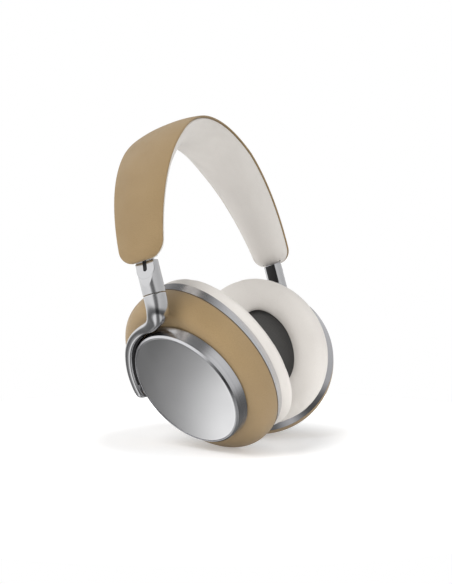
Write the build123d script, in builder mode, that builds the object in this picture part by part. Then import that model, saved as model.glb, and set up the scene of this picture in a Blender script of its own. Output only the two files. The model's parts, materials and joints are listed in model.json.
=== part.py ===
"""Over-ear headphones, in millimetres, +Z up, +X towards the wearer's left, -Y to the front.

The origin is the middle of the headband cushion's underside, where it rests on the head.
The right side is modelled, and the left side mirrors it in the YZ plane.
"""

from build123d import *
import math
import os

# ---- headband ----
cushion_depth = 12.3  # from the arch line down to the cushion's crown
arch_arcs = ((73.7, 24.6), (94.6, 34.5), (105.2, 21.8))  # radius, angle, from the top down
band_width = 36.4
band_end_width = 24.0
band_shift = -0.7  # the middle of the band's width, towards the back
band_taper_z = -3.0  # the band narrows from here down
band_corner = 8.0
cover_crown = 1.5  # the leather stands this far above the arch line
cover_chamfer = 1.2
cover_inside = 2.0  # and its inner face lies this far below it
core_width = 20.0
core_thickness = 0.8
flex_width = 5.0
flex_thickness = 0.3
cushion_inset = 1.0  # from the cover's edge
slit = 0.1  # clearance between neighbours
touch = 0.02  # between pieces that lie against each other

# ---- sliders ----
tube_x = 82.0
tube_y = 0.3
tube_radius = 5.7
band_end_z = -69.2
seam_z = -86.1
seam_gap = 0.3
band_gap = 0.5
slide_lean = 16.0  # the sliders leave the band this far from vertical
blade_x = 83.4
blade_width = 10.0
blade_thickness = 1.2
blade_below = 9.4
blade_above = 25.0
slot_width = 2.2
slot_below = 5.6  # the slot reaches this far below the band's end
slot_end_margin = 5.0
liner_recess = 0.35  # the slot's dark liner lies this far below the blade's faces
guide_width = 13.0
guide_thickness = 4.0
guide_length = 30.0
guide_start = 1.5  # its lower end, above the band's end
guide_corner = 0.8
guide_mouth = 4.0  # the opening for the slider reaches this far below the band's end
screw_drop = 2.2  # of the guide's screws, below its top
screw_side = 4.0
screw_head_radius = 1.3
screw_head_height = 0.7
screw_radius = 0.7
core_overlap = 3.0  # the steel core starts this far above the blade

# ---- swivel and tilt pivots ----
swivel_pin_radius = 2.2
bush_radius = 3.35
bush_length = 4.0
head_space = 1.3  # above the bush, for the swivel pin's head
head_thickness = 0.9
pin_depth = 8.5  # how far the swivel pin reaches into the lower arm
leg_drops = (0.0, 4.5, 8.5)  # the arm runs straight down from the seam as far as this
arm_bend = ((16.6, 42.4, 21.4, 8.4, 9.4), (9.0, 39.9, 20.3, 6.6, 8.6))  # v, w, u, width, depth
wrap_radius = 37.8  # then it follows the disc's ring
wrap_degrees = (92, 108, 124, 140, 153, 166, 177)
wrap_u = 19.4
wrap_width = 4.9
wrap_depth = 7.0
wrap_spread = 1.4  # it stands off a little more towards its end
spread_from = 140
spread_over = 30
arm_corner = 2.0
running = 0.05  # radial clearance of a pin that turns
tilt_pin_radius = 1.5
tilt_pin_u = 18.7
tilt_pin_w = 9.0
pivot_block_radius = 2.45

# ---- ear cups: u outwards, v forwards, w up, from the middle of the shell's rim ----
cup_x = 38.2
cup_y = 0.9
cup_z = -127.1
cup_swivel = 24.4
cup_tilt = 24.8
cup_rake = 3.7
rim_v = -5.9  # the middle of the cup's rim
rim_w = 2.6
shell_half_width = 45.2
shell_half_height = 48.6
shell_depth = 15.6
shell_power = 2.6  # the flare stays wide up to its shoulder
shell_shoulder = 0.3
shell_stations = (0, 0.35, 0.6, 0.8, 0.93, 1)  # of its depth, from the rim to the disc
shell_wall = 2.0
disc_v = -0.4
disc_w = 2.0
ring_base_radius = 34.4
ring_top_radius = 33.2
ring_bore = 31.0
ring_base_u = 16.2
face_radius = 31.8
face_u = 22.9
trim_depth = 7.4
trim_wall = 3.0
pad_half_width = 40.6
pad_half_height = 47.9
pad_face_half_width = 31.4
pad_face_half_height = 45.0
pad_face_u = -19.1
pad_hole_half_width = 15.0
pad_hole_half_height = 28.5
control_u = -3.3  # the buttons and the socket sit on this level of the trim ring
button_height = 3.0
right_buttons = (
    ("volume_up_button", 196, 7.0),
    ("play_button", 209, 8.0),
    ("volume_down_button", 222, 7.0),
)
left_buttons = (("quick_button", 209, 9.0),)
switch_degrees = 236
switch_width = 5.0
switch_travel = 1.2
socket_degrees = 270
pivot_face_v = -36.4  # the arm's inner face at the tilt pivot
pivot_depth = 3.4
block_face_v = -35.2  # the end of the cup's pivot block
baffle_u = -7.3
pad_plate_u = -9.6
mesh_half_width = 19.1
mesh_half_height = 32.1
driver_radius = 19.9
boss_spots = ((21, 30), (-21, 30), (21, -30), (-21, -30))

square_cup = Plane(origin=(-cup_x, cup_y, cup_z), x_dir=(0, -1, 0), z_dir=(-1, 0, 0))
cup_turn = Rotation(0, -cup_swivel, 0) * Rotation(cup_tilt, 0, 0) * Rotation(0, 0, cup_rake)
cup = Plane(square_cup.location * cup_turn)
disc_centre = cup.from_local_coords((disc_v, disc_w, 0))
disc_axis = Axis(disc_centre, cup.z_dir)
disc_section = Plane(origin=disc_centre, x_dir=cup.x_dir, z_dir=-cup.y_dir)
rim = Plane(origin=cup.from_local_coords((rim_v, rim_w, 0)), x_dir=cup.x_dir, z_dir=cup.z_dir)
driver_section = Plane(origin=rim.origin, x_dir=rim.x_dir, z_dir=-rim.y_dir)
driver_axis = Axis(rim.origin, rim.z_dir)

lean = math.radians(slide_lean)
slide_origin = (-blade_x, tube_y, band_end_z)
slide = Plane(
    origin=slide_origin,
    x_dir=(math.cos(lean), 0, -math.sin(lean)),
    z_dir=(math.sin(lean), 0, math.cos(lean)),
)

blade_face = Plane(origin=slide_origin, x_dir=(0, -1, 0), z_dir=(-math.cos(lean), 0, math.sin(lean)))

os.makedirs("parts", exist_ok=True)


def write(piece, name):
    piece.part.label = name
    export_step(piece.part, f"parts/{name}.step")


def level(u):
    """The plane across an ear cup's rim, at height u."""
    return rim.offset(u)


# ---------------------------------------------------------------- headband


def arch(depth):
    """Half of the arch, this far below the arch line, from the top to the right-hand end."""
    with BuildLine(Plane.XZ) as line:
        start = (0, cushion_depth - depth)
        tangent = (-1, 0)
        for radius, angle in arch_arcs:
            arc = JernArc(start=start, tangent=tangent, radius=radius - depth, arc_size=angle)
            end = Plane.XZ.to_local_coords(arc @ 1)
            way = Plane.XZ.to_local_coords(Plane.XZ.origin + (arc % 1))
            start = (end.X, end.Y)
            tangent = (way.X, way.Y)
    return line


def arch_slab(top, bottom, width):
    """A slab that follows the arch, between two depths."""
    outer = Plane.XZ.to_local_coords(arch(top).line)
    inner = Plane.XZ.to_local_coords(arch(bottom).line)
    with BuildPart() as slab:
        with BuildSketch(Plane.XZ.offset(-band_shift)):
            with BuildLine():
                add(outer)
                add(inner)
                Line(outer @ 0, inner @ 0)
                Line(outer @ 1, inner @ 1)
            make_face()
        extrude(amount=width / 2, both=True)
        mirror(about=Plane.YZ)
    return slab


def band_outline():
    """The band seen from the side: even at the top, narrower and rounded at its ends."""
    top = cushion_depth + cover_crown + 1
    with BuildPart() as outline:
        with BuildSketch(Plane.YZ):
            with BuildLine():
                front = band_shift - band_width / 2
                back = band_shift + band_width / 2
                end_front = tube_y - band_end_width / 2
                end_back = tube_y + band_end_width / 2
                Polyline(
                    (front, top),
                    (front, band_taper_z),
                    (end_front, band_end_z),
                    (end_back, band_end_z),
                    (back, band_taper_z),
                    (back, top),
                    close=True,
                )
            make_face()
            bottom = vertices().group_by(Axis.Y)[0]
            fillet(bottom, radius=band_corner)
        extrude(amount=2 * tube_x, both=True)
    return outline


def blade_space(margin, above, below):
    """Room for the sliding blade, with a margin round it."""
    with BuildPart() as space:
        with BuildSketch(slide.offset(-below)):
            Rectangle(blade_thickness + 2 * margin, blade_width + 2 * margin)
        extrude(amount=above + below)
        mirror(about=Plane.YZ)
    return space


def guide_block():
    """The moulded channel in each end of the band that its slider runs in."""
    with BuildPart() as block:
        with BuildSketch(slide.offset(guide_start)):
            Rectangle(guide_thickness, guide_width)
        extrude(amount=guide_length)
        edges_along = edges().filter_by(Axis(slide.origin, slide.z_dir))
        fillet(edges_along, radius=guide_corner)
    return block


def both_guides(margin):
    """The room that the two guides take up in the band."""
    with BuildPart() as space:
        with BuildSketch(slide.offset(-guide_mouth)):
            Rectangle(guide_thickness + 2 * margin, guide_width + 2 * margin)
        extrude(amount=guide_mouth + guide_start + guide_length + margin)
        mirror(about=Plane.YZ)
    return space


def guide_screws():
    """Two screws through each guide and the end of the steel core."""
    with BuildPart() as screws:
        height = guide_start + guide_length - screw_drop
        for side in (-screw_side, screw_side):
            spot = slide.from_local_coords((guide_thickness / 2, side, height))
            face = Plane(origin=spot, x_dir=slide.y_dir, z_dir=slide.x_dir)
            with BuildSketch(face):
                Circle(screw_head_radius)
            extrude(amount=screw_head_height)
            with BuildSketch(face):
                Circle(screw_radius)
            extrude(amount=4 * slit - guide_thickness)
        mirror(about=Plane.YZ)
    return screws


def make_headband():
    outline = band_outline()
    core = arch_slab(cover_inside + slit, cover_inside + slit + core_thickness, core_width)
    flex_top = cover_inside + 2 * slit + core_thickness
    flex = arch_slab(flex_top, flex_top + flex_thickness, flex_width)
    screws = guide_screws()
    reach = slide.from_local_coords((0, 0, blade_above + core_overlap)).Z

    with BuildPart() as band_core:
        with BuildSketch(Plane.XY.offset(reach)):
            Rectangle(4 * tube_x, 4 * band_width)
        extrude(amount=2 * tube_x)
        add(core.part, mode=Mode.INTERSECT)
        add(screws.part, mode=Mode.SUBTRACT)
    write(band_core, "band_core")

    with BuildPart() as flex_cable:
        with BuildSketch(Plane.XY.offset(reach + 2 * core_overlap)):
            Rectangle(4 * tube_x, 4 * band_width)
        extrude(amount=2 * tube_x)
        add(flex.part, mode=Mode.INTERSECT)
    write(flex_cable, "flex_cable")

    with BuildPart() as cover:
        add(arch_slab(-cover_crown, cover_inside, band_width).part)
        long_edges = edges().filter_by(GeomType.CIRCLE).group_by(Axis.Z)[-1]
        chamfer(long_edges, length=cover_chamfer)
        add(outline.part, mode=Mode.INTERSECT)
        add(both_guides(slit).part, mode=Mode.SUBTRACT)
        add(blade_space(4 * slit, core_overlap, guide_mouth).part, mode=Mode.SUBTRACT)
    write(cover, "headband_cover")

    with BuildPart() as cushion:
        add(arch_slab(cover_inside + touch, cushion_depth, band_width - 2 * cushion_inset).part)
        add(arch_slab(cover_inside, flex_top + flex_thickness + slit, core_width + 2 * slit).part,
            mode=Mode.SUBTRACT)
        add(outline.part, mode=Mode.INTERSECT)
        add(both_guides(slit).part, mode=Mode.SUBTRACT)
        add(screws.part, mode=Mode.SUBTRACT)
        add(blade_space(4 * slit, core_overlap, guide_mouth).part, mode=Mode.SUBTRACT)
    write(cushion, "headband_cushion")

    with BuildPart() as guide:
        add(guide_block().part)
        with BuildSketch(slide):
            Rectangle(blade_thickness + 4 * slit, blade_width + 4 * slit)
        extrude(amount=blade_above + 1, mode=Mode.SUBTRACT)
        add(band_core.part, mode=Mode.SUBTRACT)
        add(screws.part, mode=Mode.SUBTRACT)
    write(guide, "right_slider_guide")
    with BuildPart() as twin:
        mirror(guide.part, about=Plane.YZ)
    write(twin, "left_slider_guide")
    write(screws, "guide_screws")


# ---------------------------------------------------------------- right slider


def slot_bar(trim, half_thickness):
    """A bar that fills the long slot in the blade, drawn in by trim all round."""
    low = -slot_below
    high = blade_above - slot_end_margin
    with BuildPart() as bar:
        with BuildSketch(blade_face):
            with Locations((0, (low + high) / 2)):
                SlotOverall(high - low - 2 * trim, slot_width - 2 * trim, rotation=90)
        extrude(amount=half_thickness, both=True)
    return bar


def blade_outline(margin, depth, below=0.0):
    """The blade's round-ended outline as a solid, from below its middle outwards."""
    with BuildPart() as outline:
        with BuildSketch(blade_face.offset(-below)):
            with Locations((0, (blade_above - blade_below) / 2)):
                RectangleRounded(
                    blade_width + 2 * margin,
                    blade_above + blade_below + 2 * margin,
                    blade_width / 2 + margin - slit,
                )
        extrude(amount=depth + below)
    return outline


def make_blade():
    with BuildPart() as blade:
        add(blade_outline(0, blade_thickness / 2, blade_thickness / 2).part)
        add(slot_bar(0, blade_thickness).part, mode=Mode.SUBTRACT)
    return blade


def make_upper_arm():
    """A round bar with a leaning flat on its outer side, which the blade lies in."""
    foot = Plane(origin=(-tube_x, tube_y, seam_z + seam_gap))
    with BuildPart() as arm:
        with BuildSketch(foot):
            Circle(tube_radius)
        extrude(amount=band_end_z - band_gap - seam_z - seam_gap)
        with BuildSketch(blade_face.offset(blade_thickness / 2)):
            Rectangle(4 * tube_radius, 8 * tube_radius)
        extrude(amount=4 * tube_radius, mode=Mode.SUBTRACT)
        pocket = blade_outline(slit / 2, 2 * blade_thickness, blade_thickness / 2 + touch)
        add(pocket.part, mode=Mode.SUBTRACT)
        with BuildSketch(foot):
            Circle(bush_radius)
        extrude(amount=bush_length + head_space, mode=Mode.SUBTRACT)
    return arm


def make_slider():
    with BuildPart() as bush:
        with BuildSketch(Plane(origin=(-tube_x, tube_y, seam_z + seam_gap))):
            Circle(bush_radius)
            Circle(swivel_pin_radius + running, mode=Mode.SUBTRACT)
        extrude(amount=bush_length)
    return {
        "slider_blade": make_blade(),
        "upper_arm": make_upper_arm(),
        "slot_liner": slot_bar(touch / 2, blade_thickness / 2 - liner_recess),
        "swivel_bush": bush,
    }


# ---------------------------------------------------------------- right lower arm


def arm_stations():
    """Centre, direction and section of the lower arm, from the seam to the tilt pivot.

    Each centre is (v, w, u) in the ear cup's own axes, because the arm wraps round its disc.
    """
    path = []
    for drop in leg_drops:
        spot = cup.to_local_coords(Vector(-tube_x, tube_y, seam_z - drop))
        path.append((Vector(spot.X, spot.Y, spot.Z), 2 * tube_radius, 2 * tube_radius))
    for v, w, u, across, deep in arm_bend:
        path.append((Vector(v, w, u), across, deep))
    for degrees in wrap_degrees:
        angle = math.radians(degrees)
        out = wrap_radius + wrap_spread * max(0.0, (degrees - spread_from) / spread_over)
        spot = Vector(disc_v + out * math.cos(angle), disc_w + out * math.sin(angle), wrap_u)
        path.append((spot, wrap_width, wrap_depth))
    return path


def beyond_pivot():
    """What is cut away to leave the arm's end round about its tilt pivot."""
    side = Plane(
        origin=cup.from_local_coords((pivot_face_v + wrap_width, tilt_pin_w, wrap_u)),
        x_dir=cup.z_dir,
        z_dir=-cup.x_dir,
    )
    with BuildPart() as waste:
        with BuildSketch(side):
            with Locations((0, -wrap_depth)):
                Rectangle(3 * wrap_depth, 2 * wrap_depth)
            Circle(wrap_depth / 2, mode=Mode.SUBTRACT)
        extrude(amount=3 * wrap_width)
    return waste


def make_lower_arm():
    path = arm_stations()
    count = len(path)
    sections = []
    for i, (spot, across, deep) in enumerate(path):
        before = path[max(i - 1, 0)][0]
        after = path[min(i + 1, count - 1)][0]
        along = (after - before).normalized()
        if i == 0:
            along = cup.to_local_coords(cup.origin + Vector(0, 0, -1))
        outward = Vector(0, 0, 1)
        side = along.cross(outward).normalized()
        here = Plane(
            origin=cup.from_local_coords(spot),
            x_dir=cup.from_local_coords(side) - cup.origin,
            z_dir=cup.from_local_coords(along) - cup.origin,
        )
        with BuildSketch(here) as section:
            round_leg = i < len(leg_drops)
            RectangleRounded(across, deep, across / 2 - slit / 2 if round_leg else arm_corner)
        sections.append(section.sketch)
    with BuildPart() as lower_arm:
        loft(sections=sections)
        with BuildSketch(Plane(origin=(-tube_x, tube_y, seam_z))):
            Circle(swivel_pin_radius)
        extrude(amount=-pin_depth - seam_gap, mode=Mode.SUBTRACT)
        add(beyond_pivot().part, mode=Mode.SUBTRACT)
        bore_length = pivot_depth + block_face_v - pivot_face_v
        add(pivot_hole(tilt_pin_radius + running, block_face_v, bore_length).part, mode=Mode.SUBTRACT)
    return lower_arm


def make_swivel_pin():
    top = seam_z + seam_gap + bush_length
    with BuildPart() as pin:
        with BuildSketch(Plane(origin=(-tube_x, tube_y, seam_z - pin_depth))):
            Circle(swivel_pin_radius)
        extrude(amount=top + head_thickness - seam_z + pin_depth)
        with BuildSketch(Plane(origin=(-tube_x, tube_y, top + slit))):
            Circle(bush_radius - 0.3)
        extrude(amount=head_thickness)
    return pin


# ---------------------------------------------------------------- right ear cup


def oval(u, half_width, half_height, v=0.0, w=0.0):
    with BuildSketch(level(u)) as outline:
        with Locations((v, w)):
            Ellipse(half_width, half_height)
    return outline.sketch


def oval_plate(low, high, half_width, half_height, v=0.0, w=0.0):
    with BuildPart() as slab:
        with BuildSketch(level(low)):
            with Locations((v, w)):
                Ellipse(half_width, half_height)
        extrude(amount=high - low)
    return slab


def ear_plate(low, high, half_width, half_height):
    """A plate about the middle of the ear, which is forward of the rim's middle."""
    return oval_plate(low, high, half_width, half_height, -rim_v, -rim_w)


def shell_body(inset, low, high):
    """The flare from the oval rim up to the disc, drawn in by inset."""
    neck = ring_base_radius - 1.0
    sections = []
    for station in shell_stations:
        spread = (1 - station**shell_power) ** shell_shoulder
        sections.append(oval(
            low + (high - low) * station,
            neck + (shell_half_width - neck) * spread - inset,
            neck + (shell_half_height - neck) * spread - inset + 0.01,
            (disc_v - rim_v) * (1 - spread),
            (disc_w - rim_w) * (1 - spread),
        ))
    with BuildPart() as body:
        loft(sections=sections)
    return body


def turned(points):
    """A ring or dish about the disc's axis, from (radius, u) corners."""
    with BuildPart() as body:
        with BuildSketch(disc_section):
            with BuildLine():
                Polyline(*points, close=True)
            make_face()
        revolve(axis=disc_axis)
    return body


def pivot_hole(radius, start_v, length):
    spot = cup.from_local_coords((start_v, tilt_pin_w, tilt_pin_u))
    with BuildPart() as hole:
        with BuildSketch(Plane(origin=spot, x_dir=cup.z_dir, z_dir=-cup.x_dir)):
            Circle(radius)
        extrude(amount=length)
    return hole


def rim_plane(degrees, u=control_u):
    """Looks outwards from the trim ring's face at this angle from the front towards the top."""
    angle = math.radians(degrees)
    half_width = trim_half_width_at(u)
    half_height = trim_half_height_at(u)
    v = half_width * math.cos(angle)
    w = half_height * math.sin(angle)
    normal = Vector(v / half_width**2, w / half_height**2, 0).normalized()
    spot = rim.from_local_coords((v, w, u))
    way = rim.from_local_coords(normal) - rim.origin
    return Plane(origin=spot, x_dir=rim.z_dir, z_dir=way)


def trim_half_width_at(u):
    return shell_half_width + (shell_half_width - pad_half_width - 0.2) * u / trim_depth


def trim_half_height_at(u):
    return shell_half_height + (shell_half_height - pad_half_height - 0.2) * u / trim_depth


def peg(plane, width, height, low, high, corner):
    """A rounded bar through the trim ring's wall, from low to high along the plane's normal."""
    with BuildPart() as bar:
        with BuildSketch(plane.offset(low)):
            RectangleRounded(height, width, corner)
        extrude(amount=high - low)
    return bar


def baffle_bosses(radius, low, high):
    with BuildPart() as bosses:
        with BuildSketch(level(low)):
            with Locations(*boss_spots):
                Circle(radius)
        extrude(amount=high - low)
    return bosses


def make_shell():
    with BuildPart() as bosses:
        add(baffle_bosses(2.3, 0.6, shell_depth - 1).part)
        add(shell_body(0.5, 0, shell_depth).part, mode=Mode.INTERSECT)
    with BuildPart() as shell:
        add(shell_body(0, 0, shell_depth).part)
        add(shell_body(shell_wall, -0.01, shell_depth - 1.6).part, mode=Mode.SUBTRACT)
        add(bosses.part)
        add(baffle_bosses(0.75, 0.6, 9).part, mode=Mode.SUBTRACT)
    return shell


def make_trim_ring(cuts):
    with BuildPart() as trim:
        top = oval(0, shell_half_width, shell_half_height)
        bottom = oval(-trim_depth, trim_half_width_at(-trim_depth), trim_half_height_at(-trim_depth))
        loft(sections=[bottom, top])
        inner_top = oval(0.01, shell_half_width - trim_wall, shell_half_height - trim_wall)
        inner_bottom = oval(
            -trim_depth - 0.01,
            trim_half_width_at(-trim_depth) - trim_wall,
            trim_half_height_at(-trim_depth) - trim_wall,
        )
        loft(sections=[inner_bottom, inner_top], mode=Mode.SUBTRACT)
        for cut in cuts:
            add(cut.part, mode=Mode.SUBTRACT)
    return trim


def make_ear_pad():
    with BuildPart() as pad:
        loft(sections=[
            oval(-trim_depth - 0.1, pad_half_width, pad_half_height),
            oval(-13, 38.4, 47.2, -rim_v / 2, -rim_w / 2),
            oval(pad_face_u, pad_face_half_width, pad_face_half_height, -rim_v, -rim_w),
        ])
        hole = ear_plate(pad_face_u - 1, 0, pad_hole_half_width, pad_hole_half_height)
        add(hole.part, mode=Mode.SUBTRACT)
        recess = oval_plate(pad_plate_u - 0.05, 0, pad_half_width - 2.4, pad_half_height - 2.4)
        add(recess.part, mode=Mode.SUBTRACT)
    return pad


def make_cup_parts():
    """Every piece that both ear cups have, apart from the trim ring."""
    parts = {}
    parts["outer_shell"] = make_shell()
    parts["ring_spacer"] = turned([
        (20, shell_depth), (33.4, shell_depth), (33.4, ring_base_u), (20, ring_base_u)
    ])
    with BuildPart() as ring:
        add(turned([
            (ring_bore - 1, ring_base_u),
            (ring_base_radius, ring_base_u),
            (ring_top_radius, face_u - 0.9),
            (ring_top_radius - 0.9, face_u),
            (face_radius + 0.05, face_u),
            (face_radius + 0.05, face_u - 1.45),
            (ring_bore - 1, face_u - 1.45),
        ]).part)
        add(pivot_hole(pivot_block_radius, 0, 50).part, mode=Mode.SUBTRACT)
    parts["disc_ring"] = ring
    parts["face_plate"] = turned([
        (0, face_u - 1.4), (face_radius, face_u - 1.4), (face_radius, face_u - 0.1), (0, face_u)
    ])
    with BuildPart() as block:
        add(pivot_hole(pivot_block_radius, -26, -block_face_v - 26).part)
        add(pivot_hole(tilt_pin_radius, -26, 20).part, mode=Mode.SUBTRACT)
    parts["pivot_block"] = block
    parts["tilt_pin"] = pivot_hole(tilt_pin_radius, -26, -pivot_face_v - 26 + pivot_depth - 0.3)
    parts["antenna_board"] = turned([
        (0, 17.2), (20, 17.2), (20, 18.2), (0, 18.2)
    ])
    with BuildPart() as baffle:
        add(oval_plate(baffle_u, baffle_u + 1.6, pad_half_width - 3.2, pad_half_height - 3.2).part)
        add(oval_plate(baffle_u - 1, 0, driver_radius + 0.1, driver_radius + 0.11).part,
            mode=Mode.SUBTRACT)
        add(baffle_bosses(2.3, baffle_u + 1.6, 0.6).part)
        add(baffle_bosses(1.0, baffle_u - 1, 2).part, mode=Mode.SUBTRACT)
    parts["baffle"] = baffle
    with BuildPart() as screws:
        add(baffle_bosses(0.75, baffle_u, 8).part)
        add(baffle_bosses(1.8, baffle_u - 0.9, baffle_u).part)
    parts["baffle_screws"] = screws
    with BuildPart() as frame:
        with BuildSketch(driver_section):
            with BuildLine():
                Polyline(
                    (driver_radius, baffle_u), (driver_radius, baffle_u + 1.65),
                    (22.5, baffle_u + 1.65), (22.5, baffle_u + 2.6), (19.5, baffle_u + 2.6),
                    (13.2, baffle_u + 6.5), (13.2, baffle_u + 10.5), (12.2, baffle_u + 10.5),
                    (12.2, baffle_u + 5.8), (18.8, baffle_u + 1.6), (18.8, baffle_u),
                    close=True,
                )
            make_face()
        revolve(axis=driver_axis)
    parts["driver_frame"] = frame
    with BuildPart() as cone:
        with BuildSketch(driver_section):
            with BuildLine():
                Polyline(
                    (0, baffle_u + 3.4), (8, baffle_u + 4.4), (18.7, baffle_u + 0.5),
                    (18.7, baffle_u + 0.1), (8, baffle_u + 4.0), (0, baffle_u + 3.0),
                    close=True,
                )
            make_face()
        revolve(axis=driver_axis)
    parts["driver_cone"] = cone
    with BuildPart() as magnet:
        with BuildSketch(level(baffle_u + 5.2)):
            Circle(12.1)
        extrude(amount=5.6)
    parts["driver_magnet"] = magnet
    with BuildPart() as board:
        with BuildSketch(level(11.4)):
            with Locations((disc_v - rim_v, disc_w - rim_w)):
                Circle(28)
        extrude(amount=1.0)
        add(baffle_bosses(2.6, 0, 15).part, mode=Mode.SUBTRACT)
    parts["circuit_board"] = board
    with BuildPart() as holder:
        add(oval_plate(pad_plate_u, baffle_u - 1.0, pad_half_width - 2.5, pad_half_height - 2.5).part)
        add(ear_plate(pad_plate_u - 1, 0, mesh_half_width + slit, mesh_half_height + slit).part,
            mode=Mode.SUBTRACT)
    parts["pad_plate"] = holder
    parts["driver_mesh"] = ear_plate(
        pad_plate_u + 0.1, pad_plate_u + 0.6, mesh_half_width, mesh_half_height
    )
    parts["ear_pad"] = make_ear_pad()
    return parts


def save_side(parts):
    """Writes the right-hand pieces and their mirror images."""
    for name, piece in parts.items():
        write(piece, f"right_{name}")
        with BuildPart() as twin:
            mirror(piece.part, about=Plane.YZ)
        write(twin, f"left_{name}")


def button(degrees, width, height, margin=0.0, low=-3.6, high=0.9):
    return peg(rim_plane(degrees), width + 2 * margin, height + 2 * margin, low, high,
               height / 2 - 0.15)


def make_controls():
    """The buttons, switch and socket in the trim rings, and the rings themselves."""
    slot = 0.15
    right_cuts = []
    for name, degrees, width in right_buttons:
        write(button(degrees, width, button_height), name)
        right_cuts.append(button(degrees, width, button_height, slot, -6, 4))
    for name, degrees, width in left_buttons:
        with BuildPart() as left:
            mirror(button(degrees, width, button_height).part, about=Plane.YZ)
        write(left, name)

    switch_place = rim_plane(switch_degrees)
    knob = peg(switch_place, switch_width, 2.4, -2.4, 0.9, 1.0)
    write(knob, "power_switch")
    right_cuts.append(peg(switch_place, switch_width + 2 * switch_travel + 0.3, 2.7, -6, 4, 1.2))

    port_place = rim_plane(socket_degrees)
    with BuildPart() as socket:
        add(peg(port_place, 9.0, 3.3, -5.5, -0.1, 1.6).part)
        add(peg(port_place, 8.4, 2.7, -5.0, 1, 1.3).part, mode=Mode.SUBTRACT)
        add(peg(port_place, 6.6, 0.7, -5.2, -0.7, 0.3).part)
    write(socket, "charging_socket")
    right_cuts.append(peg(port_place, 9.1, 3.4, -7, 4, 1.65))
    write(make_trim_ring(right_cuts), "right_trim_ring")

    left_cuts = [button(d, w, button_height, slot, -6, 4) for _, d, w in left_buttons]
    with BuildPart() as left_trim:
        mirror(make_trim_ring(left_cuts).part, about=Plane.YZ)
    write(left_trim, "left_trim_ring")


def make_battery():
    with BuildPart() as battery:
        with BuildSketch(level(5.4)):
            RectangleRounded(30, 40, 2)
        extrude(amount=5.4)
        mirror(about=Plane.YZ, mode=Mode.REPLACE)
    write(battery, "battery")


def main():
    make_headband()
    side = make_slider()
    side["lower_arm"] = make_lower_arm()
    side["swivel_pin"] = make_swivel_pin()
    side.update(make_cup_parts())
    save_side(side)
    make_controls()
    make_battery()


main()
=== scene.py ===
"""Over-ear headphones: leather, cushions, metals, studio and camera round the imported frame.

The scene is in metres and the sizes below are in millimetres, apart from the studio's. +Z is up,
+X is towards the wearer's left and -Y is the front. The origin is the middle of the headband
cushion's underside in CAD. Right-hand pieces are made here, and the left-hand ones are their
mirror images in the YZ plane.
"""

import json
import math

import bmesh
import bpy
import numpy as np
from mathutils import Matrix, Vector


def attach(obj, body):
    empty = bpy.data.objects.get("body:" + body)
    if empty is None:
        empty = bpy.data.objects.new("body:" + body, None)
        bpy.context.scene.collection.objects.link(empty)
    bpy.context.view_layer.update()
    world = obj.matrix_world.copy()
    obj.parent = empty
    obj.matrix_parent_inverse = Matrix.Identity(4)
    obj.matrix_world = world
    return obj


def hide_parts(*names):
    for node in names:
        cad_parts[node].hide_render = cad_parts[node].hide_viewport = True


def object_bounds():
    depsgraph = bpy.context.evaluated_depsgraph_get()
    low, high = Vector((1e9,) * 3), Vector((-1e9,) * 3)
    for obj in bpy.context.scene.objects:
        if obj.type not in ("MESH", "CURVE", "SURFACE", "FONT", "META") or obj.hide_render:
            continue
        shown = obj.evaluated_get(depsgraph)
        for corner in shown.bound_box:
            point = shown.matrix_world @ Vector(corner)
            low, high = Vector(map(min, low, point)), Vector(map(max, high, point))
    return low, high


MM = 0.001

# ---- cloth: patches this small need a high pressure before they move ----
CLOTH_MASS = 0.02
CLOTH_FRAMES = 20
CLOTH_QUALITY = 6
CUSHION_PRESSURE, CUSHION_SWELL = 20.0, 1.0
PAD_PRESSURE, PAD_SWELL = 450.0, 0.9
CUSHION_RELAX, PAD_RELAX = 16, 4  # rounds of smoothing after the swelling

# ---- headband ----
ARCH_ARCS = ((73.7, 24.6), (94.6, 34.5), (105.2, 21.8))  # radius and angle, from the top down
ARCH_TOP = 12.3  # height of the arch line above the origin
BAND_HALF_WIDTH = 18.2
BAND_END_HALF_WIDTH = 12.2
BAND_SHIFT = -0.7
BAND_END_SHIFT = 0.3
BAND_TAPER_Z = -3.0  # the band narrows from here down
BAND_END_Z = -69.2
BAND_CORNER = 8.0
COVER_CROWN = 1.9
COVER_POWER = 2.3  # how flat the crown stays before it falls to the edges
COVER_THICKNESS = 1.1
CUSHION_DEPTH = 10.0  # before it swells
CUSHION_EDGE = 2.7
CUSHION_INSET = 0.35
CUSHION_POWER, CUSHION_ROUND = 2.6, 0.75
CUSHION_END = 11.0  # it rounds off over this height at the band's ends
CUSHION_SEWN = 1.0  # held to the cover as far down as this
TOUCH = 0.02
ROW_CROWDING = 1.25  # rows lie closer together towards the band's ends

# ---- ear cups, in v forwards, w up and u outwards ----
RIM_V, RIM_W = -5.9, 2.6
SHELL_HALF_WIDTH, SHELL_HALF_HEIGHT = 45.2, 48.6
SHELL_DEPTH = 15.6
SHELL_POWER, SHELL_SHOULDER = 2.6, 0.3
SHELL_NECK = 33.4
SOFT_ANGLE, SOFT_SHOULDER = math.radians(-50), 0.42
SHELL_WALL = 2.0
RIM_ROLL = ((SHELL_WALL, 0.1), (1.0, 0.1), (0.35, 0.2), (0.08, 0.5))  # inset and height
RIM_TOP, NECK_TUCK, NECK_WALL = 1.0, 0.05, 1.6
STATION_CROWDING = 2.4
DISC_V, DISC_W = -0.4, 2.0
FACE_RADIUS = 31.75
FACE_U = 22.9
FACE_DOME = 1.2
FACE_DROP, FACE_BEVEL, FACE_SKIRT = 0.25, 0.3, 1.4
TRIM_DEPTH = 7.4
PAD_BASE = (40.3, 47.6)
PAD_WAIST = (40.6, 49.9)
PAD_SAG = 0.8
PAD_FACE = (30.8, 44.4)
PAD_FACE_U = -18.7
PAD_HOLE = (14.0, 26.4)
PAD_FLOOR_U = -9.75
PAD_BASE_U = -TRIM_DEPTH - 0.08
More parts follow.
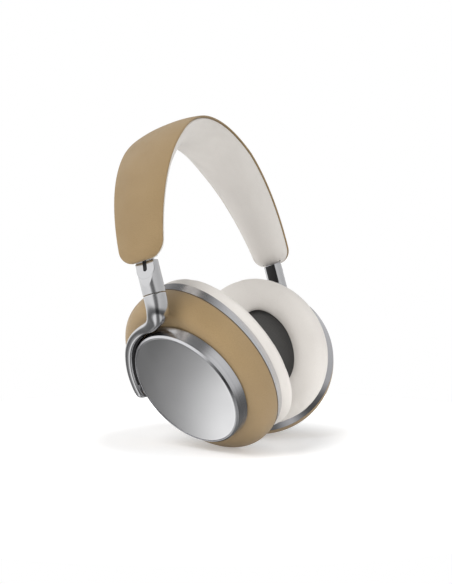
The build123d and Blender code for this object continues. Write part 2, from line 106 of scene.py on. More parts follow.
PAD_TURNS = (  # an oval, what is added to its two sizes, its middle, and its u
    (PAD_BASE, (0.0, 0.0), (RIM_V, RIM_W), PAD_BASE_U),
    (PAD_BASE, (0.1, 0.1), (RIM_V, RIM_W), -TRIM_DEPTH - 0.9),  # the welt
    (PAD_WAIST, (0.0, 0.0), (RIM_V / 2, RIM_W / 2 - PAD_SAG), -13.0),  # the fullest turn
    (PAD_FACE, (2.2, 1.8), (0, 0), -16.4),  # the outer shoulder
    (PAD_FACE, (-2.2, -2.0), (0, 0), PAD_FACE_U),
    (PAD_HOLE, (5.6, 5.6), (0, 0), PAD_FACE_U + 0.3),
    (PAD_HOLE, (1.4, 1.4), (0, 0), -16.0),  # the ear opening's lip
    (PAD_HOLE, (0.0, 0.0), (0, 0), -13.0),
    (PAD_HOLE, (1.6, 1.6), (0, 0), PAD_FLOOR_U - 0.1),
    (PAD_BASE, (-2.6, -2.6), (RIM_V, RIM_W), PAD_FLOOR_U - 0.1),
    (PAD_BASE, (-2.5, -2.5), (RIM_V, RIM_W), PAD_BASE_U),
    (PAD_BASE, (-0.6, -0.6), (RIM_V, RIM_W), PAD_BASE_U),
)
PAD_HELD = 1.2  # held to the trim ring as far down as this
TILT_PIN = (-38.0, 9.0, 18.7)  # where the right tilt joint sits, in the cup's own axes

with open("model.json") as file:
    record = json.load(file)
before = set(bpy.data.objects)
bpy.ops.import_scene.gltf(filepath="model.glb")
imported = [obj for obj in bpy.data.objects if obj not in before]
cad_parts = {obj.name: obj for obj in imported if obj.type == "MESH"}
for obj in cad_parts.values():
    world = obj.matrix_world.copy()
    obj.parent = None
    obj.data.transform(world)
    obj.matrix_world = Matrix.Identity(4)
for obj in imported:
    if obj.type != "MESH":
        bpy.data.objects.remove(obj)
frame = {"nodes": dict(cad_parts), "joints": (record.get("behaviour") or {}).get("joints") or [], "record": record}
cad_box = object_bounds()
MIDDLE = (Vector(cad_box[0]) + Vector(cad_box[1])) / 2
nodes = frame["nodes"]
record = frame["record"]
joints = {j["name"]: j for j in frame["joints"]}
mounts = {m["name"]: m for m in record["mounts"]}

# the right ear cup's own axes, from the frame
CUP_U = -Vector(mounts["right_ear_face"]["axis"]).normalized()
CUP_V = Vector(joints["right_tilt"]["axis"]).normalized()
CUP_W = CUP_U.cross(CUP_V)
CUP_ORIGIN = Vector(joints["right_tilt"]["pos_m"]) - MM * (
    TILT_PIN[0] * CUP_V + TILT_PIN[1] * CUP_W + TILT_PIN[2] * CUP_U
)
CUP_AXES = np.array([CUP_V, CUP_W, CUP_U])


def cup_points(points):
    """Row-frame places of points given in millimetres in the right cup's v, w and u."""
    return np.array(CUP_ORIGIN) + MM * np.asarray(points, float) @ CUP_AXES


# ---------------------------------------------------------------- meshes


def mesh_piece(name, points, faces):
    mesh = bpy.data.meshes.new(name)
    mesh.from_pydata([tuple(p) for p in points], [], faces)
    piece = bpy.data.objects.new(name, mesh)
    bpy.context.scene.collection.objects.link(piece)
    tidy = bmesh.new()
    tidy.from_mesh(mesh)
    bmesh.ops.remove_doubles(tidy, verts=tidy.verts, dist=1e-6)
    bmesh.ops.recalc_face_normals(tidy, faces=tidy.faces)
    tidy.to_mesh(mesh)
    tidy.free()
    mesh.shade_smooth()
    return piece


def lattice_faces(rows, columns, wrap_rows, wrap_columns):
    faces = []
    for i in range(rows if wrap_rows else rows - 1):
        for j in range(columns if wrap_columns else columns - 1):
            a, b = i % rows, (i + 1) % rows
            c, d = j % columns, (j + 1) % columns
            faces.append((a * columns + c, a * columns + d, b * columns + d, b * columns + c))
    return faces


def skin(name, grid, wrap_rows=False, wrap_columns=False, caps=False):
    """A surface through a grid of points, closed either way round, with its ends capped."""
    grid = np.asarray(grid, float)
    rows, columns = grid.shape[:2]
    faces = lattice_faces(rows, columns, wrap_rows, wrap_columns)
    if caps:
        faces.append(tuple(range(columns)))
        faces.append(tuple((rows - 1) * columns + j for j in range(columns)))
    return mesh_piece(name, grid.reshape(-1, 3), faces)


def mirrored(piece, name):
    """The left-hand twin of a right-hand piece."""
    mesh = piece.data.copy()
    mesh.name = name
    mesh.transform(Matrix.Scale(-1, 4, (1, 0, 0)))
    mesh.flip_normals()
    twin = bpy.data.objects.new(name, mesh)
    bpy.context.scene.collection.objects.link(twin)
    return twin


def vertex_array(piece):
    points = np.zeros(len(piece.data.vertices) * 3)
    piece.data.vertices.foreach_get("co", points)
    return points.reshape(-1, 3)


def set_vertices(piece, points):
    piece.data.vertices.foreach_set("co", points.ravel())
    piece.data.update()


def apply_modifiers(piece):
    graph = bpy.context.evaluated_depsgraph_get()
    mesh = bpy.data.meshes.new_from_object(piece.evaluated_get(graph))
    piece.modifiers.clear()
    piece.data = mesh
    mesh.shade_smooth()


def subdivide(piece):
    step = piece.modifiers.new("fine", "SUBSURF")
    step.levels = step.render_levels = 1
    apply_modifiers(piece)


def relax(piece, rounds, held=None):
    """Laplacian smoothing of the whole mesh, apart from held points."""
    points = vertex_array(piece)
    edges = np.array([e.vertices[:] for e in piece.data.edges])
    count = np.bincount(edges.ravel(), minlength=len(points))[:, None]
    for _ in range(rounds):
        total = np.zeros_like(points)
        np.add.at(total, edges[:, 0], points[edges[:, 1]])
        np.add.at(total, edges[:, 1], points[edges[:, 0]])
        moved = 0.5 * points + 0.5 * total / count
        points = moved if held is None else np.where(held[:, None], points, moved)
    set_vertices(piece, points)


def inflate(piece, pressure, cap, held):
    """Swells a closed mesh as stuffed cloth, by up to the cap, with its held points pinned."""
    start = vertex_array(piece)
    group = piece.vertex_groups.new(name="pinned")
    group.add([int(i) for i in np.flatnonzero(held)], 1.0, "REPLACE")
    cloth = piece.modifiers.new("cloth", "CLOTH")
    cloth.settings.vertex_group_mass = "pinned"
    cloth.settings.use_pressure = True
    cloth.settings.uniform_pressure_force = pressure
    cloth.settings.effector_weights.gravity = 0
    cloth.settings.quality = CLOTH_QUALITY
    cloth.settings.mass = CLOTH_MASS
    cloth.collision_settings.use_collision = False
    scene = bpy.context.scene
    for number in range(1, CLOTH_FRAMES + 1):
        scene.frame_set(number)
    graph = bpy.context.evaluated_depsgraph_get()
    blown = piece.evaluated_get(graph)
    end = np.array([v.co for v in blown.data.vertices])
    piece.modifiers.clear()
    piece.vertex_groups.clear()
    move = end - start
    length = np.linalg.norm(move, axis=1, keepdims=True)
    print(piece.name, "cloth moved", round(float(length.mean()), 5), round(float(length.max()), 5))
    set_vertices(piece, start + move * np.minimum(1, cap / np.maximum(length, 1e-9)))
    scene.frame_set(1)


def finished(piece, material, body, replaced=()):
    """Gives a piece its finish, and lets it ride."""
    piece.data.materials.clear()
    piece.data.materials.append(material)
    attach(piece, body)
    if replaced:
        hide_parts(*replaced)
    return piece


def pair(piece, part, material, replaces, body="cup"):
    """Finishes a right-hand cup piece and its left-hand twin."""
    twin = mirrored(piece, f"left_{part}")
    for side, made in (("right", piece), ("left", twin)):
        finished(made, material, f"{side}_{body}", [f"{side}_{n}" for n in replaces])
    return piece, twin


# ---------------------------------------------------------------- materials


class Paint:
    """A procedural material, built node by node."""

    def __init__(self, name, **principled):
        self.material = bpy.data.materials.get(name) or bpy.data.materials.new(name)
        self.material.use_nodes = True
        self.tree = self.material.node_tree
        self.tree.nodes.clear()
        self.shader = self.add("ShaderNodeBsdfPrincipled", **principled)
        output = self.add("ShaderNodeOutputMaterial")
        self.tree.links.new(self.shader.outputs[0], output.inputs["Surface"])
        self.place = self.add("ShaderNodeTexCoord").outputs["Object"]

    def add(self, kind, settings=None, **inputs):
        node = self.tree.nodes.new(kind)
        for key, value in (settings or {}).items():
            setattr(node, key, value)
        for key, value in inputs.items():
            socket = node.inputs[int(key[1:])] if key[0] == "_" else node.inputs[key.replace("_", " ")]
            if isinstance(value, bpy.types.NodeSocket):
                self.tree.links.new(value, socket)
            else:
                socket.default_value = value
        return node

    def math(self, operation, a, b=0.0):
        return self.add("ShaderNodeMath", {"operation": operation}, _0=a, _1=b).outputs[0]

    def noise(self, scale, detail=2.0, roughness=0.5, place=None):
        node = self.add("ShaderNodeTexNoise", Vector=place or self.place, Scale=scale,
                        Detail=detail, Roughness=roughness)
        return node.outputs["Fac"]

    def cells(self, scale, feature="F1"):
        node = self.add("ShaderNodeTexVoronoi", {"feature": feature}, Vector=self.place, Scale=scale)
        return node.outputs["Distance"]

    def remap(self, value, low, high, to_low, to_high):
        node = self.add("ShaderNodeMapRange", Value=value, From_Min=low, From_Max=high,
                        To_Min=to_low, To_Max=to_high)
        return node.outputs[0]

    def blend(self, factor, first, second):
        node = self.add("ShaderNodeMix", {"data_type": "RGBA"}, Factor=factor)
        for socket, value in ((node.inputs[6], first), (node.inputs[7], second)):
            if isinstance(value, bpy.types.NodeSocket):
                self.tree.links.new(value, socket)
            else:
                socket.default_value = value
        return node.outputs[2]

    def bump(self, height, distance, strength=1.0, below=None):
        node = self.add("ShaderNodeBump", Height=height, Distance=distance, Strength=strength)
        if below is not None:
            self.tree.links.new(below, node.inputs["Normal"])
        return node.outputs[0]

    def drive(self, **inputs):
        for key, value in inputs.items():
            self.tree.links.new(value, self.shader.inputs[key.replace("_", " ")])
        return self.material

    def folded_place(self):
        """Object places with the left side folded on to the right."""
        split = self.add("ShaderNodeSeparateXYZ", Vector=self.place)
        across = self.math("MULTIPLY", self.math("ABSOLUTE", split.outputs[0]), -1.0)
        joined = self.add("ShaderNodeCombineXYZ", X=across, Y=split.outputs[1], Z=split.outputs[2])
        return joined.outputs[0]

    def along(self, place, direction):
        node = self.add("ShaderNodeVectorMath", {"operation": "DOT_PRODUCT"}, _0=place,
                        _1=tuple(direction))
        return node.outputs["Value"]

    def disc_radius(self):
        """Distance from the nearer ear disc's axis."""
        centre = Vector(cup_points((DISC_V, DISC_W, 0)))
        offset = self.add("ShaderNodeVectorMath", {"operation": "SUBTRACT"},
                          _0=self.folded_place(), _1=tuple(centre)).outputs[0]
        across = self.add("ShaderNodeVectorMath", {"operation": "CROSS_PRODUCT"}, _0=offset,
                          _1=tuple(CUP_U)).outputs[0]
        return self.add("ShaderNodeVectorMath", {"operation": "LENGTH"}, _0=across).outputs["Value"]


def leather(name, colour, dark, grain, roughness):
    """Fine-grained leather: pebbles, pores, soft mottling, a little wear, and painted shade in the grain's
    creases.
    """
    paint = Paint(name, Specular_IOR_Level=0.35, Sheen_Weight=0.15, Sheen_Roughness=0.5)
    mottle = paint.remap(paint.noise(38, 3.0), 0.35, 0.7, 0.0, 1.0)
    streaks = paint.remap(paint.noise(210, 2.0), 0.4, 0.75, 0.0, 0.35)
    tone = paint.blend(paint.math("MULTIPLY", mottle, 0.45), colour, dark)
    creases = paint.remap(paint.cells(grain, "DISTANCE_TO_EDGE"), 0.0, 0.16, 1.0, 0.0)
    # painted shade: the creases between the pebbles are darkened
    tone = paint.blend(paint.math("MULTIPLY", creases, 0.35), tone, dark)
    tone = paint.blend(paint.math("MULTIPLY", streaks, 0.3), tone, colour)
    rough = paint.remap(paint.noise(95, 3.0), 0.3, 0.7, roughness - 0.06, roughness + 0.07)
    pebbles = paint.bump(paint.math("SUBTRACT", 1.0, creases), 0.00007, 0.5)
    pores = paint.bump(paint.noise(grain * 2.7, 2.0), 0.00003, 0.4, pebbles)
    return paint.drive(Base_Color=tone, Roughness=rough, Normal=pores)


def metal(name, colour, roughness, polish=0.04, scratch=0.25):
    """Cast and polished metal, with faint smears and hairline scratches."""
    paint = Paint(name, Metallic=1.0)
    smears = paint.noise(60, 4.0, 0.6)
    rough = paint.remap(smears, 0.3, 0.7, roughness - polish, roughness + polish)
    hairs = paint.add("ShaderNodeTexNoise", {"noise_dimensions": "3D"}, Scale=900.0, Detail=2.0,
                      Vector=paint.add("ShaderNodeMapping", Vector=paint.place,
                                       Scale=(1.0, 1.0, 0.05)).outputs[0]).outputs["Fac"]
    tone = paint.blend(paint.remap(smears, 0.3, 0.8, 0.0, 0.25), colour,
                       tuple(0.8 * c for c in colour[:3]) + (1.0,))
    return paint.drive(Base_Color=tone, Roughness=rough, Normal=paint.bump(hairs, 0.00001, scratch))


def turned_metal(name, colour, roughness, groove, depth):
    """Metal turned about the ear disc's axis, with fine concentric grooves."""
    paint = Paint(name, Metallic=1.0)
    radius = paint.disc_radius()
    rings = paint.add("ShaderNodeTexNoise", {"noise_dimensions": "1D"}, Detail=3.0, Scale=1.0,
                      W=paint.math("MULTIPLY", radius, groove)).outputs["Fac"]
    smears = paint.noise(45, 3.0)
    rough = paint.remap(smears, 0.3, 0.7, roughness - 0.03, roughness + 0.04)
    tone = paint.blend(paint.remap(rings, 0.3, 0.7, 0.0, 0.22), colour,
                       tuple(0.75 * c for c in colour[:3]) + (1.0,))
    return paint.drive(Base_Color=tone, Roughness=rough, Normal=paint.bump(rings, depth, 0.35))


def moulded(name, colour, roughness, grain=1500):
    """Moulded plastic with a fine spark-eroded texture."""
    paint = Paint(name, Specular_IOR_Level=0.4)
    texture = paint.noise(grain, 2.0)
    tone = paint.blend(paint.remap(paint.noise(70, 2.0), 0.3, 0.7, 0.0, 0.3), colour,
                       tuple(min(1.0, 1.5 * c) for c in colour[:3]) + (1.0,))
    rough = paint.remap(paint.noise(120, 2.0), 0.3, 0.7, roughness - 0.05, roughness + 0.05)
    return paint.drive(Base_Color=tone, Roughness=rough, Normal=paint.bump(texture, 0.00002, 0.4))


def woven(name, colour, pitch):
    """A woven acoustic mesh: two sets of threads over and under, painted darker as shade where they dip."""
    paint = Paint(name, Roughness=0.8, Specular_IOR_Level=0.2, Sheen_Weight=0.3)
    place = paint.folded_place()
    waves = []
    for direction in (CUP_V, CUP_W):
        phase = paint.math("MULTIPLY", paint.along(place, direction), 2 * math.pi / pitch)
        waves.append(paint.math("SINE", phase))
    height = paint.math("MULTIPLY", waves[0], waves[1])
    # painted shade: the threads darken where they sink below the weave
    tone = paint.blend(paint.remap(height, -1.0, 1.0, 0.0, 1.0),
                       tuple(0.35 * c for c in colour[:3]) + (1.0,), colour)
    return paint.drive(Base_Color=tone, Normal=paint.bump(height, 0.00012, 0.8))


def board(name):
    """A circuit board's face: green mask with darker tracks and pale pads."""
    paint = Paint(name, Roughness=0.35)
    tracks = paint.remap(paint.cells(420, "DISTANCE_TO_EDGE"), 0.0, 0.08, 0.0, 1.0)
    tone = paint.blend(tracks, (0.03, 0.16, 0.08, 1), (0.02, 0.09, 0.05, 1))
    pads = paint.remap(paint.cells(700), 0.0, 0.12, 1.0, 0.0)
    tone = paint.blend(paint.math("MULTIPLY", pads, 0.6), tone, (0.6, 0.5, 0.25, 1))
    return paint.drive(Base_Color=tone, Normal=paint.bump(tracks, 0.00003, 0.5))


TAN = leather("tan_leather", (0.300, 0.208, 0.103, 1), (0.225, 0.150, 0.070, 1), 1150, 0.55)
CREAM = leather("cream_leather", (0.70, 0.668, 0.630, 1), (0.61, 0.578, 0.542, 1), 1350, 0.6)
POLISHED = metal("polished_aluminium", (0.66, 0.66, 0.67, 1), 0.18)
TRIM_METAL = metal("satin_aluminium_trim", (0.58, 0.58, 0.60, 1), 0.2)
TURNED = turned_metal("satin_aluminium", (0.72, 0.72, 0.74, 1), 0.24, 5000, 0.00001)
DISC = turned_metal("disc_face", (0.84, 0.84, 0.85, 1), 0.2, 9000, 0.000003)
BLACK = moulded("black_plastic", (0.012, 0.012, 0.013, 1), 0.5)
CONE = moulded("driver_cone", (0.03, 0.03, 0.033, 1), 0.6, 500)
STEEL = metal("spring_steel", (0.55, 0.55, 0.56, 1), 0.3)
MAGNET = metal("magnet_steel", (0.35, 0.35, 0.37, 1), 0.35)
BRASS = metal("bearing_brass", (0.65, 0.45, 0.16, 1), 0.3)
FOIL = metal("battery_foil", (0.5, 0.51, 0.53, 1), 0.4)
BUTTON = metal("button_metal", (0.62, 0.62, 0.64, 1), 0.25)
MESH = woven("speaker_mesh", (0.11, 0.108, 0.105, 1), 0.0011)
BOARD = board("circuit_board")

SLOT_PAINT = {
    "tan_leather": TAN, "cream_leather": CREAM, "polished_aluminium": POLISHED,
    "satin_aluminium": TURNED, "disc_face": DISC, "black_plastic": BLACK,
    "driver_cone": CONE, "spring_steel": STEEL, "magnet_steel": MAGNET,
    "bearing_brass": BRASS, "battery_foil": FOIL, "button_metal": BUTTON,
    "speaker_mesh": MESH, "circuit_board": BOARD,
}


def paint_frame():
    for part in record["subparts"]:
        finish = SLOT_PAINT[part["material_slot"]]
        if part["node"].endswith("trim_ring"):
            finish = TRIM_METAL
        mesh = nodes[part["node"]].data
        mesh.materials.clear()
        mesh.materials.append(finish)


# ---------------------------------------------------------------- headband


def arch_at(distance):
    """Place and inward normal on the arch line, in x and z, from the top rightwards."""
    place = np.array([0.0, ARCH_TOP])
    heading = 0.0
    left = distance
    for radius, angle in ARCH_ARCS:
        turn = math.radians(angle)
        inward = np.array([math.sin(heading), -math.cos(heading)])
        centre = place + radius * inward
        here = min(left / radius, turn)
        heading += here
        inward = np.array([math.sin(heading), -math.cos(heading)])
        place = centre - radius * inward
        left -= here * radius
        if left <= 1e-9:
            break
    return place, inward


def arch_end():
    """How far along the arch line the band ends."""
    low, high = 100.0, 128.4  # either side of the end
    for _ in range(40):
        middle = (low + high) / 2
        low, high = (middle, high) if arch_at(middle)[0][1] > BAND_END_Z else (low, middle)
    return low


ARCH_LENGTH = arch_end()


def band_half_width(height):
    """Half the band's width and its middle, at this height above the origin."""
    share = min(1.0, max(0.0, (height - BAND_TAPER_Z) / (BAND_END_Z - BAND_TAPER_Z)))
    half = BAND_HALF_WIDTH + (BAND_END_HALF_WIDTH - BAND_HALF_WIDTH) * share
    middle = BAND_SHIFT + (BAND_END_SHIFT - BAND_SHIFT) * share
    above = height - BAND_END_Z
    if above < BAND_CORNER:
        fall = BAND_CORNER - max(0.0, above)
        half -= BAND_CORNER - math.sqrt(max(0.0, BAND_CORNER**2 - fall**2))
    return half, middle


def band_rows(count):
    """Distances along the arch, crowded towards its two ends."""
    steps = np.linspace(-1, 1, count)
    return np.sign(steps) * ARCH_LENGTH * (1 - (1 - np.abs(steps)) ** ROW_CROWDING)


def band_section(distance, outline):
    """Places of a cross-section given as (across, depth) for this half-width."""
    place, inward = arch_at(abs(distance))
    half, middle = band_half_width(place[1])
    rows = []
    for across, depth in outline(half, place[1]):
        x, z = place + depth * inward
        rows.append((x if distance <= 0 else -x, middle + across, z))
    return MM * np.array(rows)


def cover_outline(half, _height):
    """The leather cover: a low crown, rolled lips and a flat underside, at any height."""
    lip = COVER_THICKNESS / 2
    points = []
    for t in np.linspace(-1, 1, 31):
        rise = COVER_CROWN * (1 - abs(t) ** COVER_POWER) * min(1.0, half / BAND_END_HALF_WIDTH)
        points.append((t * (half - lip), -rise))
    for turn in np.linspace(0, math.pi, 7)[1:-1]:
        points.append((half - lip + lip * math.sin(turn), lip - lip * math.cos(turn)))
    for t in np.linspace(1, -1, 13):
        points.append((t * (half - lip), COVER_THICKNESS))
    for turn in np.linspace(math.pi, 0, 7)[1:-1]:
        points.append((-half + lip - lip * math.sin(turn), lip - lip * math.cos(turn)))
    return points


def make_cover():
    rows = []
    for distance in band_rows(181):
        rows.append(band_section(distance, cover_outline))
    cover = skin("band_cover", rows, wrap_columns=True, caps=True)
    return finished(cover, TAN, "headband", ("headband_cover",))


def cushion_outline(half, height):
    """The padding before it swells: flat under the cover, crowned towards the head."""
    above = height - BAND_END_Z
    short = max(0.0, (CUSHION_END - above) / CUSHION_END)
    end = 1.0 if above > CUSHION_END else math.sqrt(max(0.05, 1 - short**2))
    inner = half - CUSHION_INSET
    top = COVER_THICKNESS + TOUCH
    points = []
    for t in np.linspace(-1, 1, 13):
        points.append((t * inner, top))
    for t in np.linspace(1, -1, 31):
        crown = (1 - abs(t) ** CUSHION_POWER) ** CUSHION_ROUND
        depth = CUSHION_EDGE + (CUSHION_DEPTH - CUSHION_EDGE) * crown
        points.append((t * inner, top + (depth - top) * end))
    return points


def make_cushion():
    rows = [band_section(distance, cushion_outline) for distance in band_rows(161)]
    cushion = skin("band_cushion", rows, wrap_columns=True, caps=True)
    depth = np.array([depth_below_arch(p) for p in vertex_array(cushion)])
    held = depth < (COVER_THICKNESS + CUSHION_SEWN) * MM
    inflate(cushion, CUSHION_PRESSURE, CUSHION_SWELL * MM, held)
    relax(cushion, CUSHION_RELAX, held)
    subdivide(cushion)
    return finished(cushion, CREAM, "headband", ("headband_cushion",))


ARCH_SAMPLES = np.array([np.concatenate(arch_at(d)) for d in np.linspace(0, ARCH_LENGTH + 6, 260)])


def depth_below_arch(point):
    """How far a point lies inside the arch line."""
    here = np.array([-abs(point[0]), point[2]]) / MM
    gap = here - ARCH_SAMPLES[:, :2]
    near = int(np.argmin((gap**2).sum(1)))
    return MM * float(gap[near] @ ARCH_SAMPLES[near, 2:])


# ---------------------------------------------------------------- ear cups


def disc_ring(radius, u, count=128):
    """A circle round the ear disc's axis."""
    angles = np.linspace(0, 2 * math.pi, count, endpoint=False)
    return np.stack([DISC_V + radius * np.cos(angles), DISC_W + radius * np.sin(angles),
                     np.full(count, u)], axis=1)


def shell_ring(station, inset, low, high, count=160):
    """One turn of the flare, fuller at the top and rear than at the bottom and front."""
    angles = np.linspace(0, 2 * math.pi, count, endpoint=False)
    away = 0.5 + 0.5 * np.cos(angles - SOFT_ANGLE)
    spread = (1 - station**SHELL_POWER) ** (SHELL_SHOULDER + SOFT_SHOULDER * away**2)
    half_width = SHELL_NECK + (SHELL_HALF_WIDTH - SHELL_NECK) * spread - inset
    half_height = SHELL_NECK + (SHELL_HALF_HEIGHT - SHELL_NECK) * spread - inset
    return np.stack([
        DISC_V + (RIM_V - DISC_V) * spread + half_width * np.cos(angles),
        DISC_W + (RIM_W - DISC_W) * spread + half_height * np.sin(angles),
        np.full(count, low + (high - low) * station),
    ], axis=1)


def make_shell():
    """The leather-covered shell, with its edges rolled at the rim and round the disc."""
    stations = [1 - (1 - s) ** STATION_CROWDING for s in np.linspace(0, 1, 40)]
    rows = [shell_ring(0, inset, low, SHELL_DEPTH) for inset, low in RIM_ROLL]
    rows += [shell_ring(s, 0.0, RIM_TOP, SHELL_DEPTH - NECK_TUCK) for s in stations]
    rows += [shell_ring(s, SHELL_WALL, RIM_ROLL[0][1], SHELL_DEPTH - NECK_WALL)
             for s in reversed(stations)]
    shell = skin("right_shell_skin", [cup_points(r) for r in rows], wrap_rows=True,
                 wrap_columns=True)
    return pair(shell, "shell_skin", TAN, ["outer_shell"])


def make_face():
    """The ear disc's face: a shallow dome with a softened edge."""
    edge = FACE_U - FACE_DROP
    rows = []
    for share in np.linspace(0.02, 1, 40):
        radius = (FACE_RADIUS - FACE_BEVEL) * share
        rows.append(disc_ring(radius, edge - FACE_DOME * share**2 + FACE_DOME))
    for turn in np.linspace(0, math.pi / 2, 5)[1:]:
        rows.append(disc_ring(FACE_RADIUS - FACE_BEVEL + FACE_BEVEL * math.sin(turn),
                              edge - FACE_BEVEL + FACE_BEVEL * math.cos(turn)))
    rows.append(disc_ring(FACE_RADIUS, FACE_U - FACE_SKIRT))
    face = skin("right_disc", [cup_points(r) for r in rows], wrap_columns=True, caps=True)
    return pair(face, "disc", DISC, ["face_plate"])


def pad_section(angle):
    """The ear pad's cross-section at this angle round the ear, before it swells."""
    cos, sin = math.cos(angle), math.sin(angle)
    return [(v + (across + wider) * cos, w + (up + taller) * sin, u)
            for (across, up), (wider, taller), (v, w), u in PAD_TURNS]


def make_pads():
    rows = [cup_points(pad_section(a)) for a in np.linspace(0, 2 * math.pi, 80, endpoint=False)]
    pad = skin("right_pad", rows, wrap_rows=True, wrap_columns=True)
    step = pad.modifiers.new("round", "SUBSURF")
    step.levels = step.render_levels = 2
    apply_modifiers(pad)
    height = (vertex_array(pad) - np.array(CUP_ORIGIN)) @ CUP_AXES[2]
    held = height > (-TRIM_DEPTH - PAD_HELD) * MM
    inflate(pad, PAD_PRESSURE, PAD_SWELL * MM, held)
    relax(pad, PAD_RELAX, held)
    subdivide(pad)
    right, left = pair(pad, "pad", CREAM, ["ear_pad"])


# ---------------------------------------------------------------- arms

ARM_SECTIONS = (  # v, w, u, width, depth of the bend, after the round leg
    (16.6, 42.4, 21.4, 8.4, 9.4),
    (9.0, 39.9, 20.3, 6.6, 8.6),
)
WRAP_RADIUS, WRAP_U, WRAP_WIDTH, WRAP_DEPTH = 37.8, 19.4, 4.9, 7.0
WRAP_DEGREES = (92, 108, 124, 140, 153, 163)
WRAP_SPREAD, SPREAD_FROM, SPREAD_OVER = 1.4, 140, 30
LEG_RADIUS = 5.7
LEG_DROPS = (0.1, 4.5, 8.5)
STRAP_SQUARENESS, SQUARED_OVER = 1.6, 3
SEAM_SCALE, SEAM_CHAMFER = 0.93, 0.15  # the softened edge where the arm meets the slider
# painted shade: a dark strip standing in for the shadow in the gap between the disc's ring and the arm
SHADOW_STRIP_RADII = (34.6, 35.3)
SHADOW_STRIP_BELOW, SHADOW_STRIP_ABOVE = 2.9, 2.0
SHADOW_STRIP_DEGREES = (96, 163)
PATH_STEP = 0.7
PATH_ROUNDS = 40
STRAIGHT_START, STRAIGHT_END = 2.0, 4.0  # left as they are at the path's two ends
INLAY_HALF_ANGLE = 34
INLAY_FROM_SEAM = 4.5
INLAY_BELOW_BAND = 0.7
INLAY_SUNK, INLAY_PROUD = 0.25, 0.12
PIVOT_SHIFT = 0.9  # from the joint out to the middle of the strap


def arm_path():
    """Centres and sizes down the lower arm, from the swivel seam to the tilt pivot."""
    seam = np.array(joints["right_swivel"]["pos_m"])
    path = []
    for drop in LEG_DROPS:
        here = (seam - (0, 0, drop * MM) - np.array(CUP_ORIGIN)) @ CUP_AXES.T / MM
        path.append([*here, 2 * LEG_RADIUS, 2 * LEG_RADIUS])
    path += [list(row) for row in ARM_SECTIONS]
    for degrees in WRAP_DEGREES:
        angle = math.radians(degrees)
        out = WRAP_RADIUS + WRAP_SPREAD * max(0.0, (degrees - SPREAD_FROM) / SPREAD_OVER)
        path.append([DISC_V + out * math.cos(angle), DISC_W + out * math.sin(angle), WRAP_U,
                     WRAP_WIDTH, WRAP_DEPTH])
    path.append([TILT_PIN[0] - PIVOT_SHIFT, TILT_PIN[1], WRAP_U, WRAP_WIDTH, WRAP_DEPTH])
    return np.array(path)


def smooth_path(path, steps):
    """A Catmull-Rom curve through the path's rows."""
    ends = np.vstack([2 * path[0] - path[1], path, 2 * path[-1] - path[-2]])
    rows = []
    for a, b, c, d in zip(ends, ends[1:], ends[2:], ends[3:]):
        for t in np.linspace(0, 1, steps, endpoint=False):
            rows.append(0.5 * (2 * b + (c - a) * t + (2 * a - 5 * b + 4 * c - d) * t**2
                               + (3 * b - a - 3 * c + d) * t**3))
    rows.append(path[-1])
    return np.array(rows)


def evened(path):
    """The path at even steps with its lumps smoothed out, apart from its two ends."""
    along = np.concatenate([[0], np.cumsum(np.linalg.norm(np.diff(path[:, :3], axis=0), axis=1))])
    steps = np.linspace(0, along[-1], int(along[-1] / PATH_STEP))
    even = np.stack([np.interp(steps, along, column) for column in path.T], axis=1)
    free = (steps > STRAIGHT_START) & (steps < steps[-1] - STRAIGHT_END)
    for _ in range(PATH_ROUNDS):
        middle = even.copy()
        middle[1:-1] = 0.25 * even[:-2] + 0.5 * even[1:-1] + 0.25 * even[2:]
        even = np.where(free[:, None], middle, even)
    return even


def arm_section(centre, along, width, depth, scale=1.0):
    """A rounded section across the arm; the leg's is round and the strap's is squarer."""
    side = np.cross(along, (0, 0, 1))
    side /= np.linalg.norm(side)
    rise = np.cross(side, along)
    thinner = min(1.0, max(0.0, (2 * LEG_RADIUS - width) / SQUARED_OVER))
    power = 2.0 + STRAP_SQUARENESS * thinner
    points = []
    for turn in np.linspace(0, 2 * math.pi, 48, endpoint=False):
        cos, sin = math.cos(turn), math.sin(turn)
        x = math.copysign(abs(cos) ** (2 / power), cos) * width / 2 * scale
        y = math.copysign(abs(sin) ** (2 / power), sin) * depth / 2 * scale
        points.append(centre + x * side + y * rise)
    return points


def make_arms():
    """The lower arm, swept in one piece and rounded about its pivot."""
    path = evened(smooth_path(arm_path(), 12))
    centres = path[:, :3]
    along = np.gradient(centres, axis=0)
    along /= np.linalg.norm(along, axis=1, keepdims=True)
    rows = [arm_section(centres[0], along[0], *path[0, 3:], SEAM_SCALE)]
    rows += [arm_section(c + SEAM_CHAMFER * a * (i == 0), a, w, d)
             for i, (c, a, w, d) in enumerate(zip(centres, along, path[:, 3], path[:, 4]))]
    for turn in np.linspace(0, math.pi / 2, 9)[1:]:
        reach = WRAP_DEPTH / 2 * math.sin(turn)
        tip = arm_section(centres[-1] + reach * along[-1], along[-1], WRAP_WIDTH,
                          max(0.3, WRAP_DEPTH * math.cos(turn)))
        rows.append(tip)
    arm = skin("right_arm_sweep", [cup_points(r) for r in rows], wrap_columns=True, caps=True)
    pair(arm, "arm_sweep", POLISHED, ["lower_arm"], "arm")


def make_painted_gap_shade():
    """A dark strip put in the gap between the disc's ring and the arm: painted shade, standing in for the shadow
    there.
    """
    rows = []
    low, high = WRAP_U - SHADOW_STRIP_BELOW, WRAP_U + SHADOW_STRIP_ABOVE
    for degrees in np.linspace(*SHADOW_STRIP_DEGREES, 60):
        angle = math.radians(degrees)
        ring = []
        for radius, u in ((0, low), (1, low), (1, high), (0, high)):
            out = SHADOW_STRIP_RADII[radius]
            ring.append((DISC_V + out * math.cos(angle), DISC_W + out * math.sin(angle), u))
        rows.append(cup_points(ring))
    shadow_strip = skin("right_arm_gap_shadow", rows, wrap_columns=True, caps=True)
    # painted shade: this black strip stands in for the shadow in the gap, it is not a part of the headphones
    pair(shadow_strip, "arm_gap_shadow", BLACK, [], "arm")


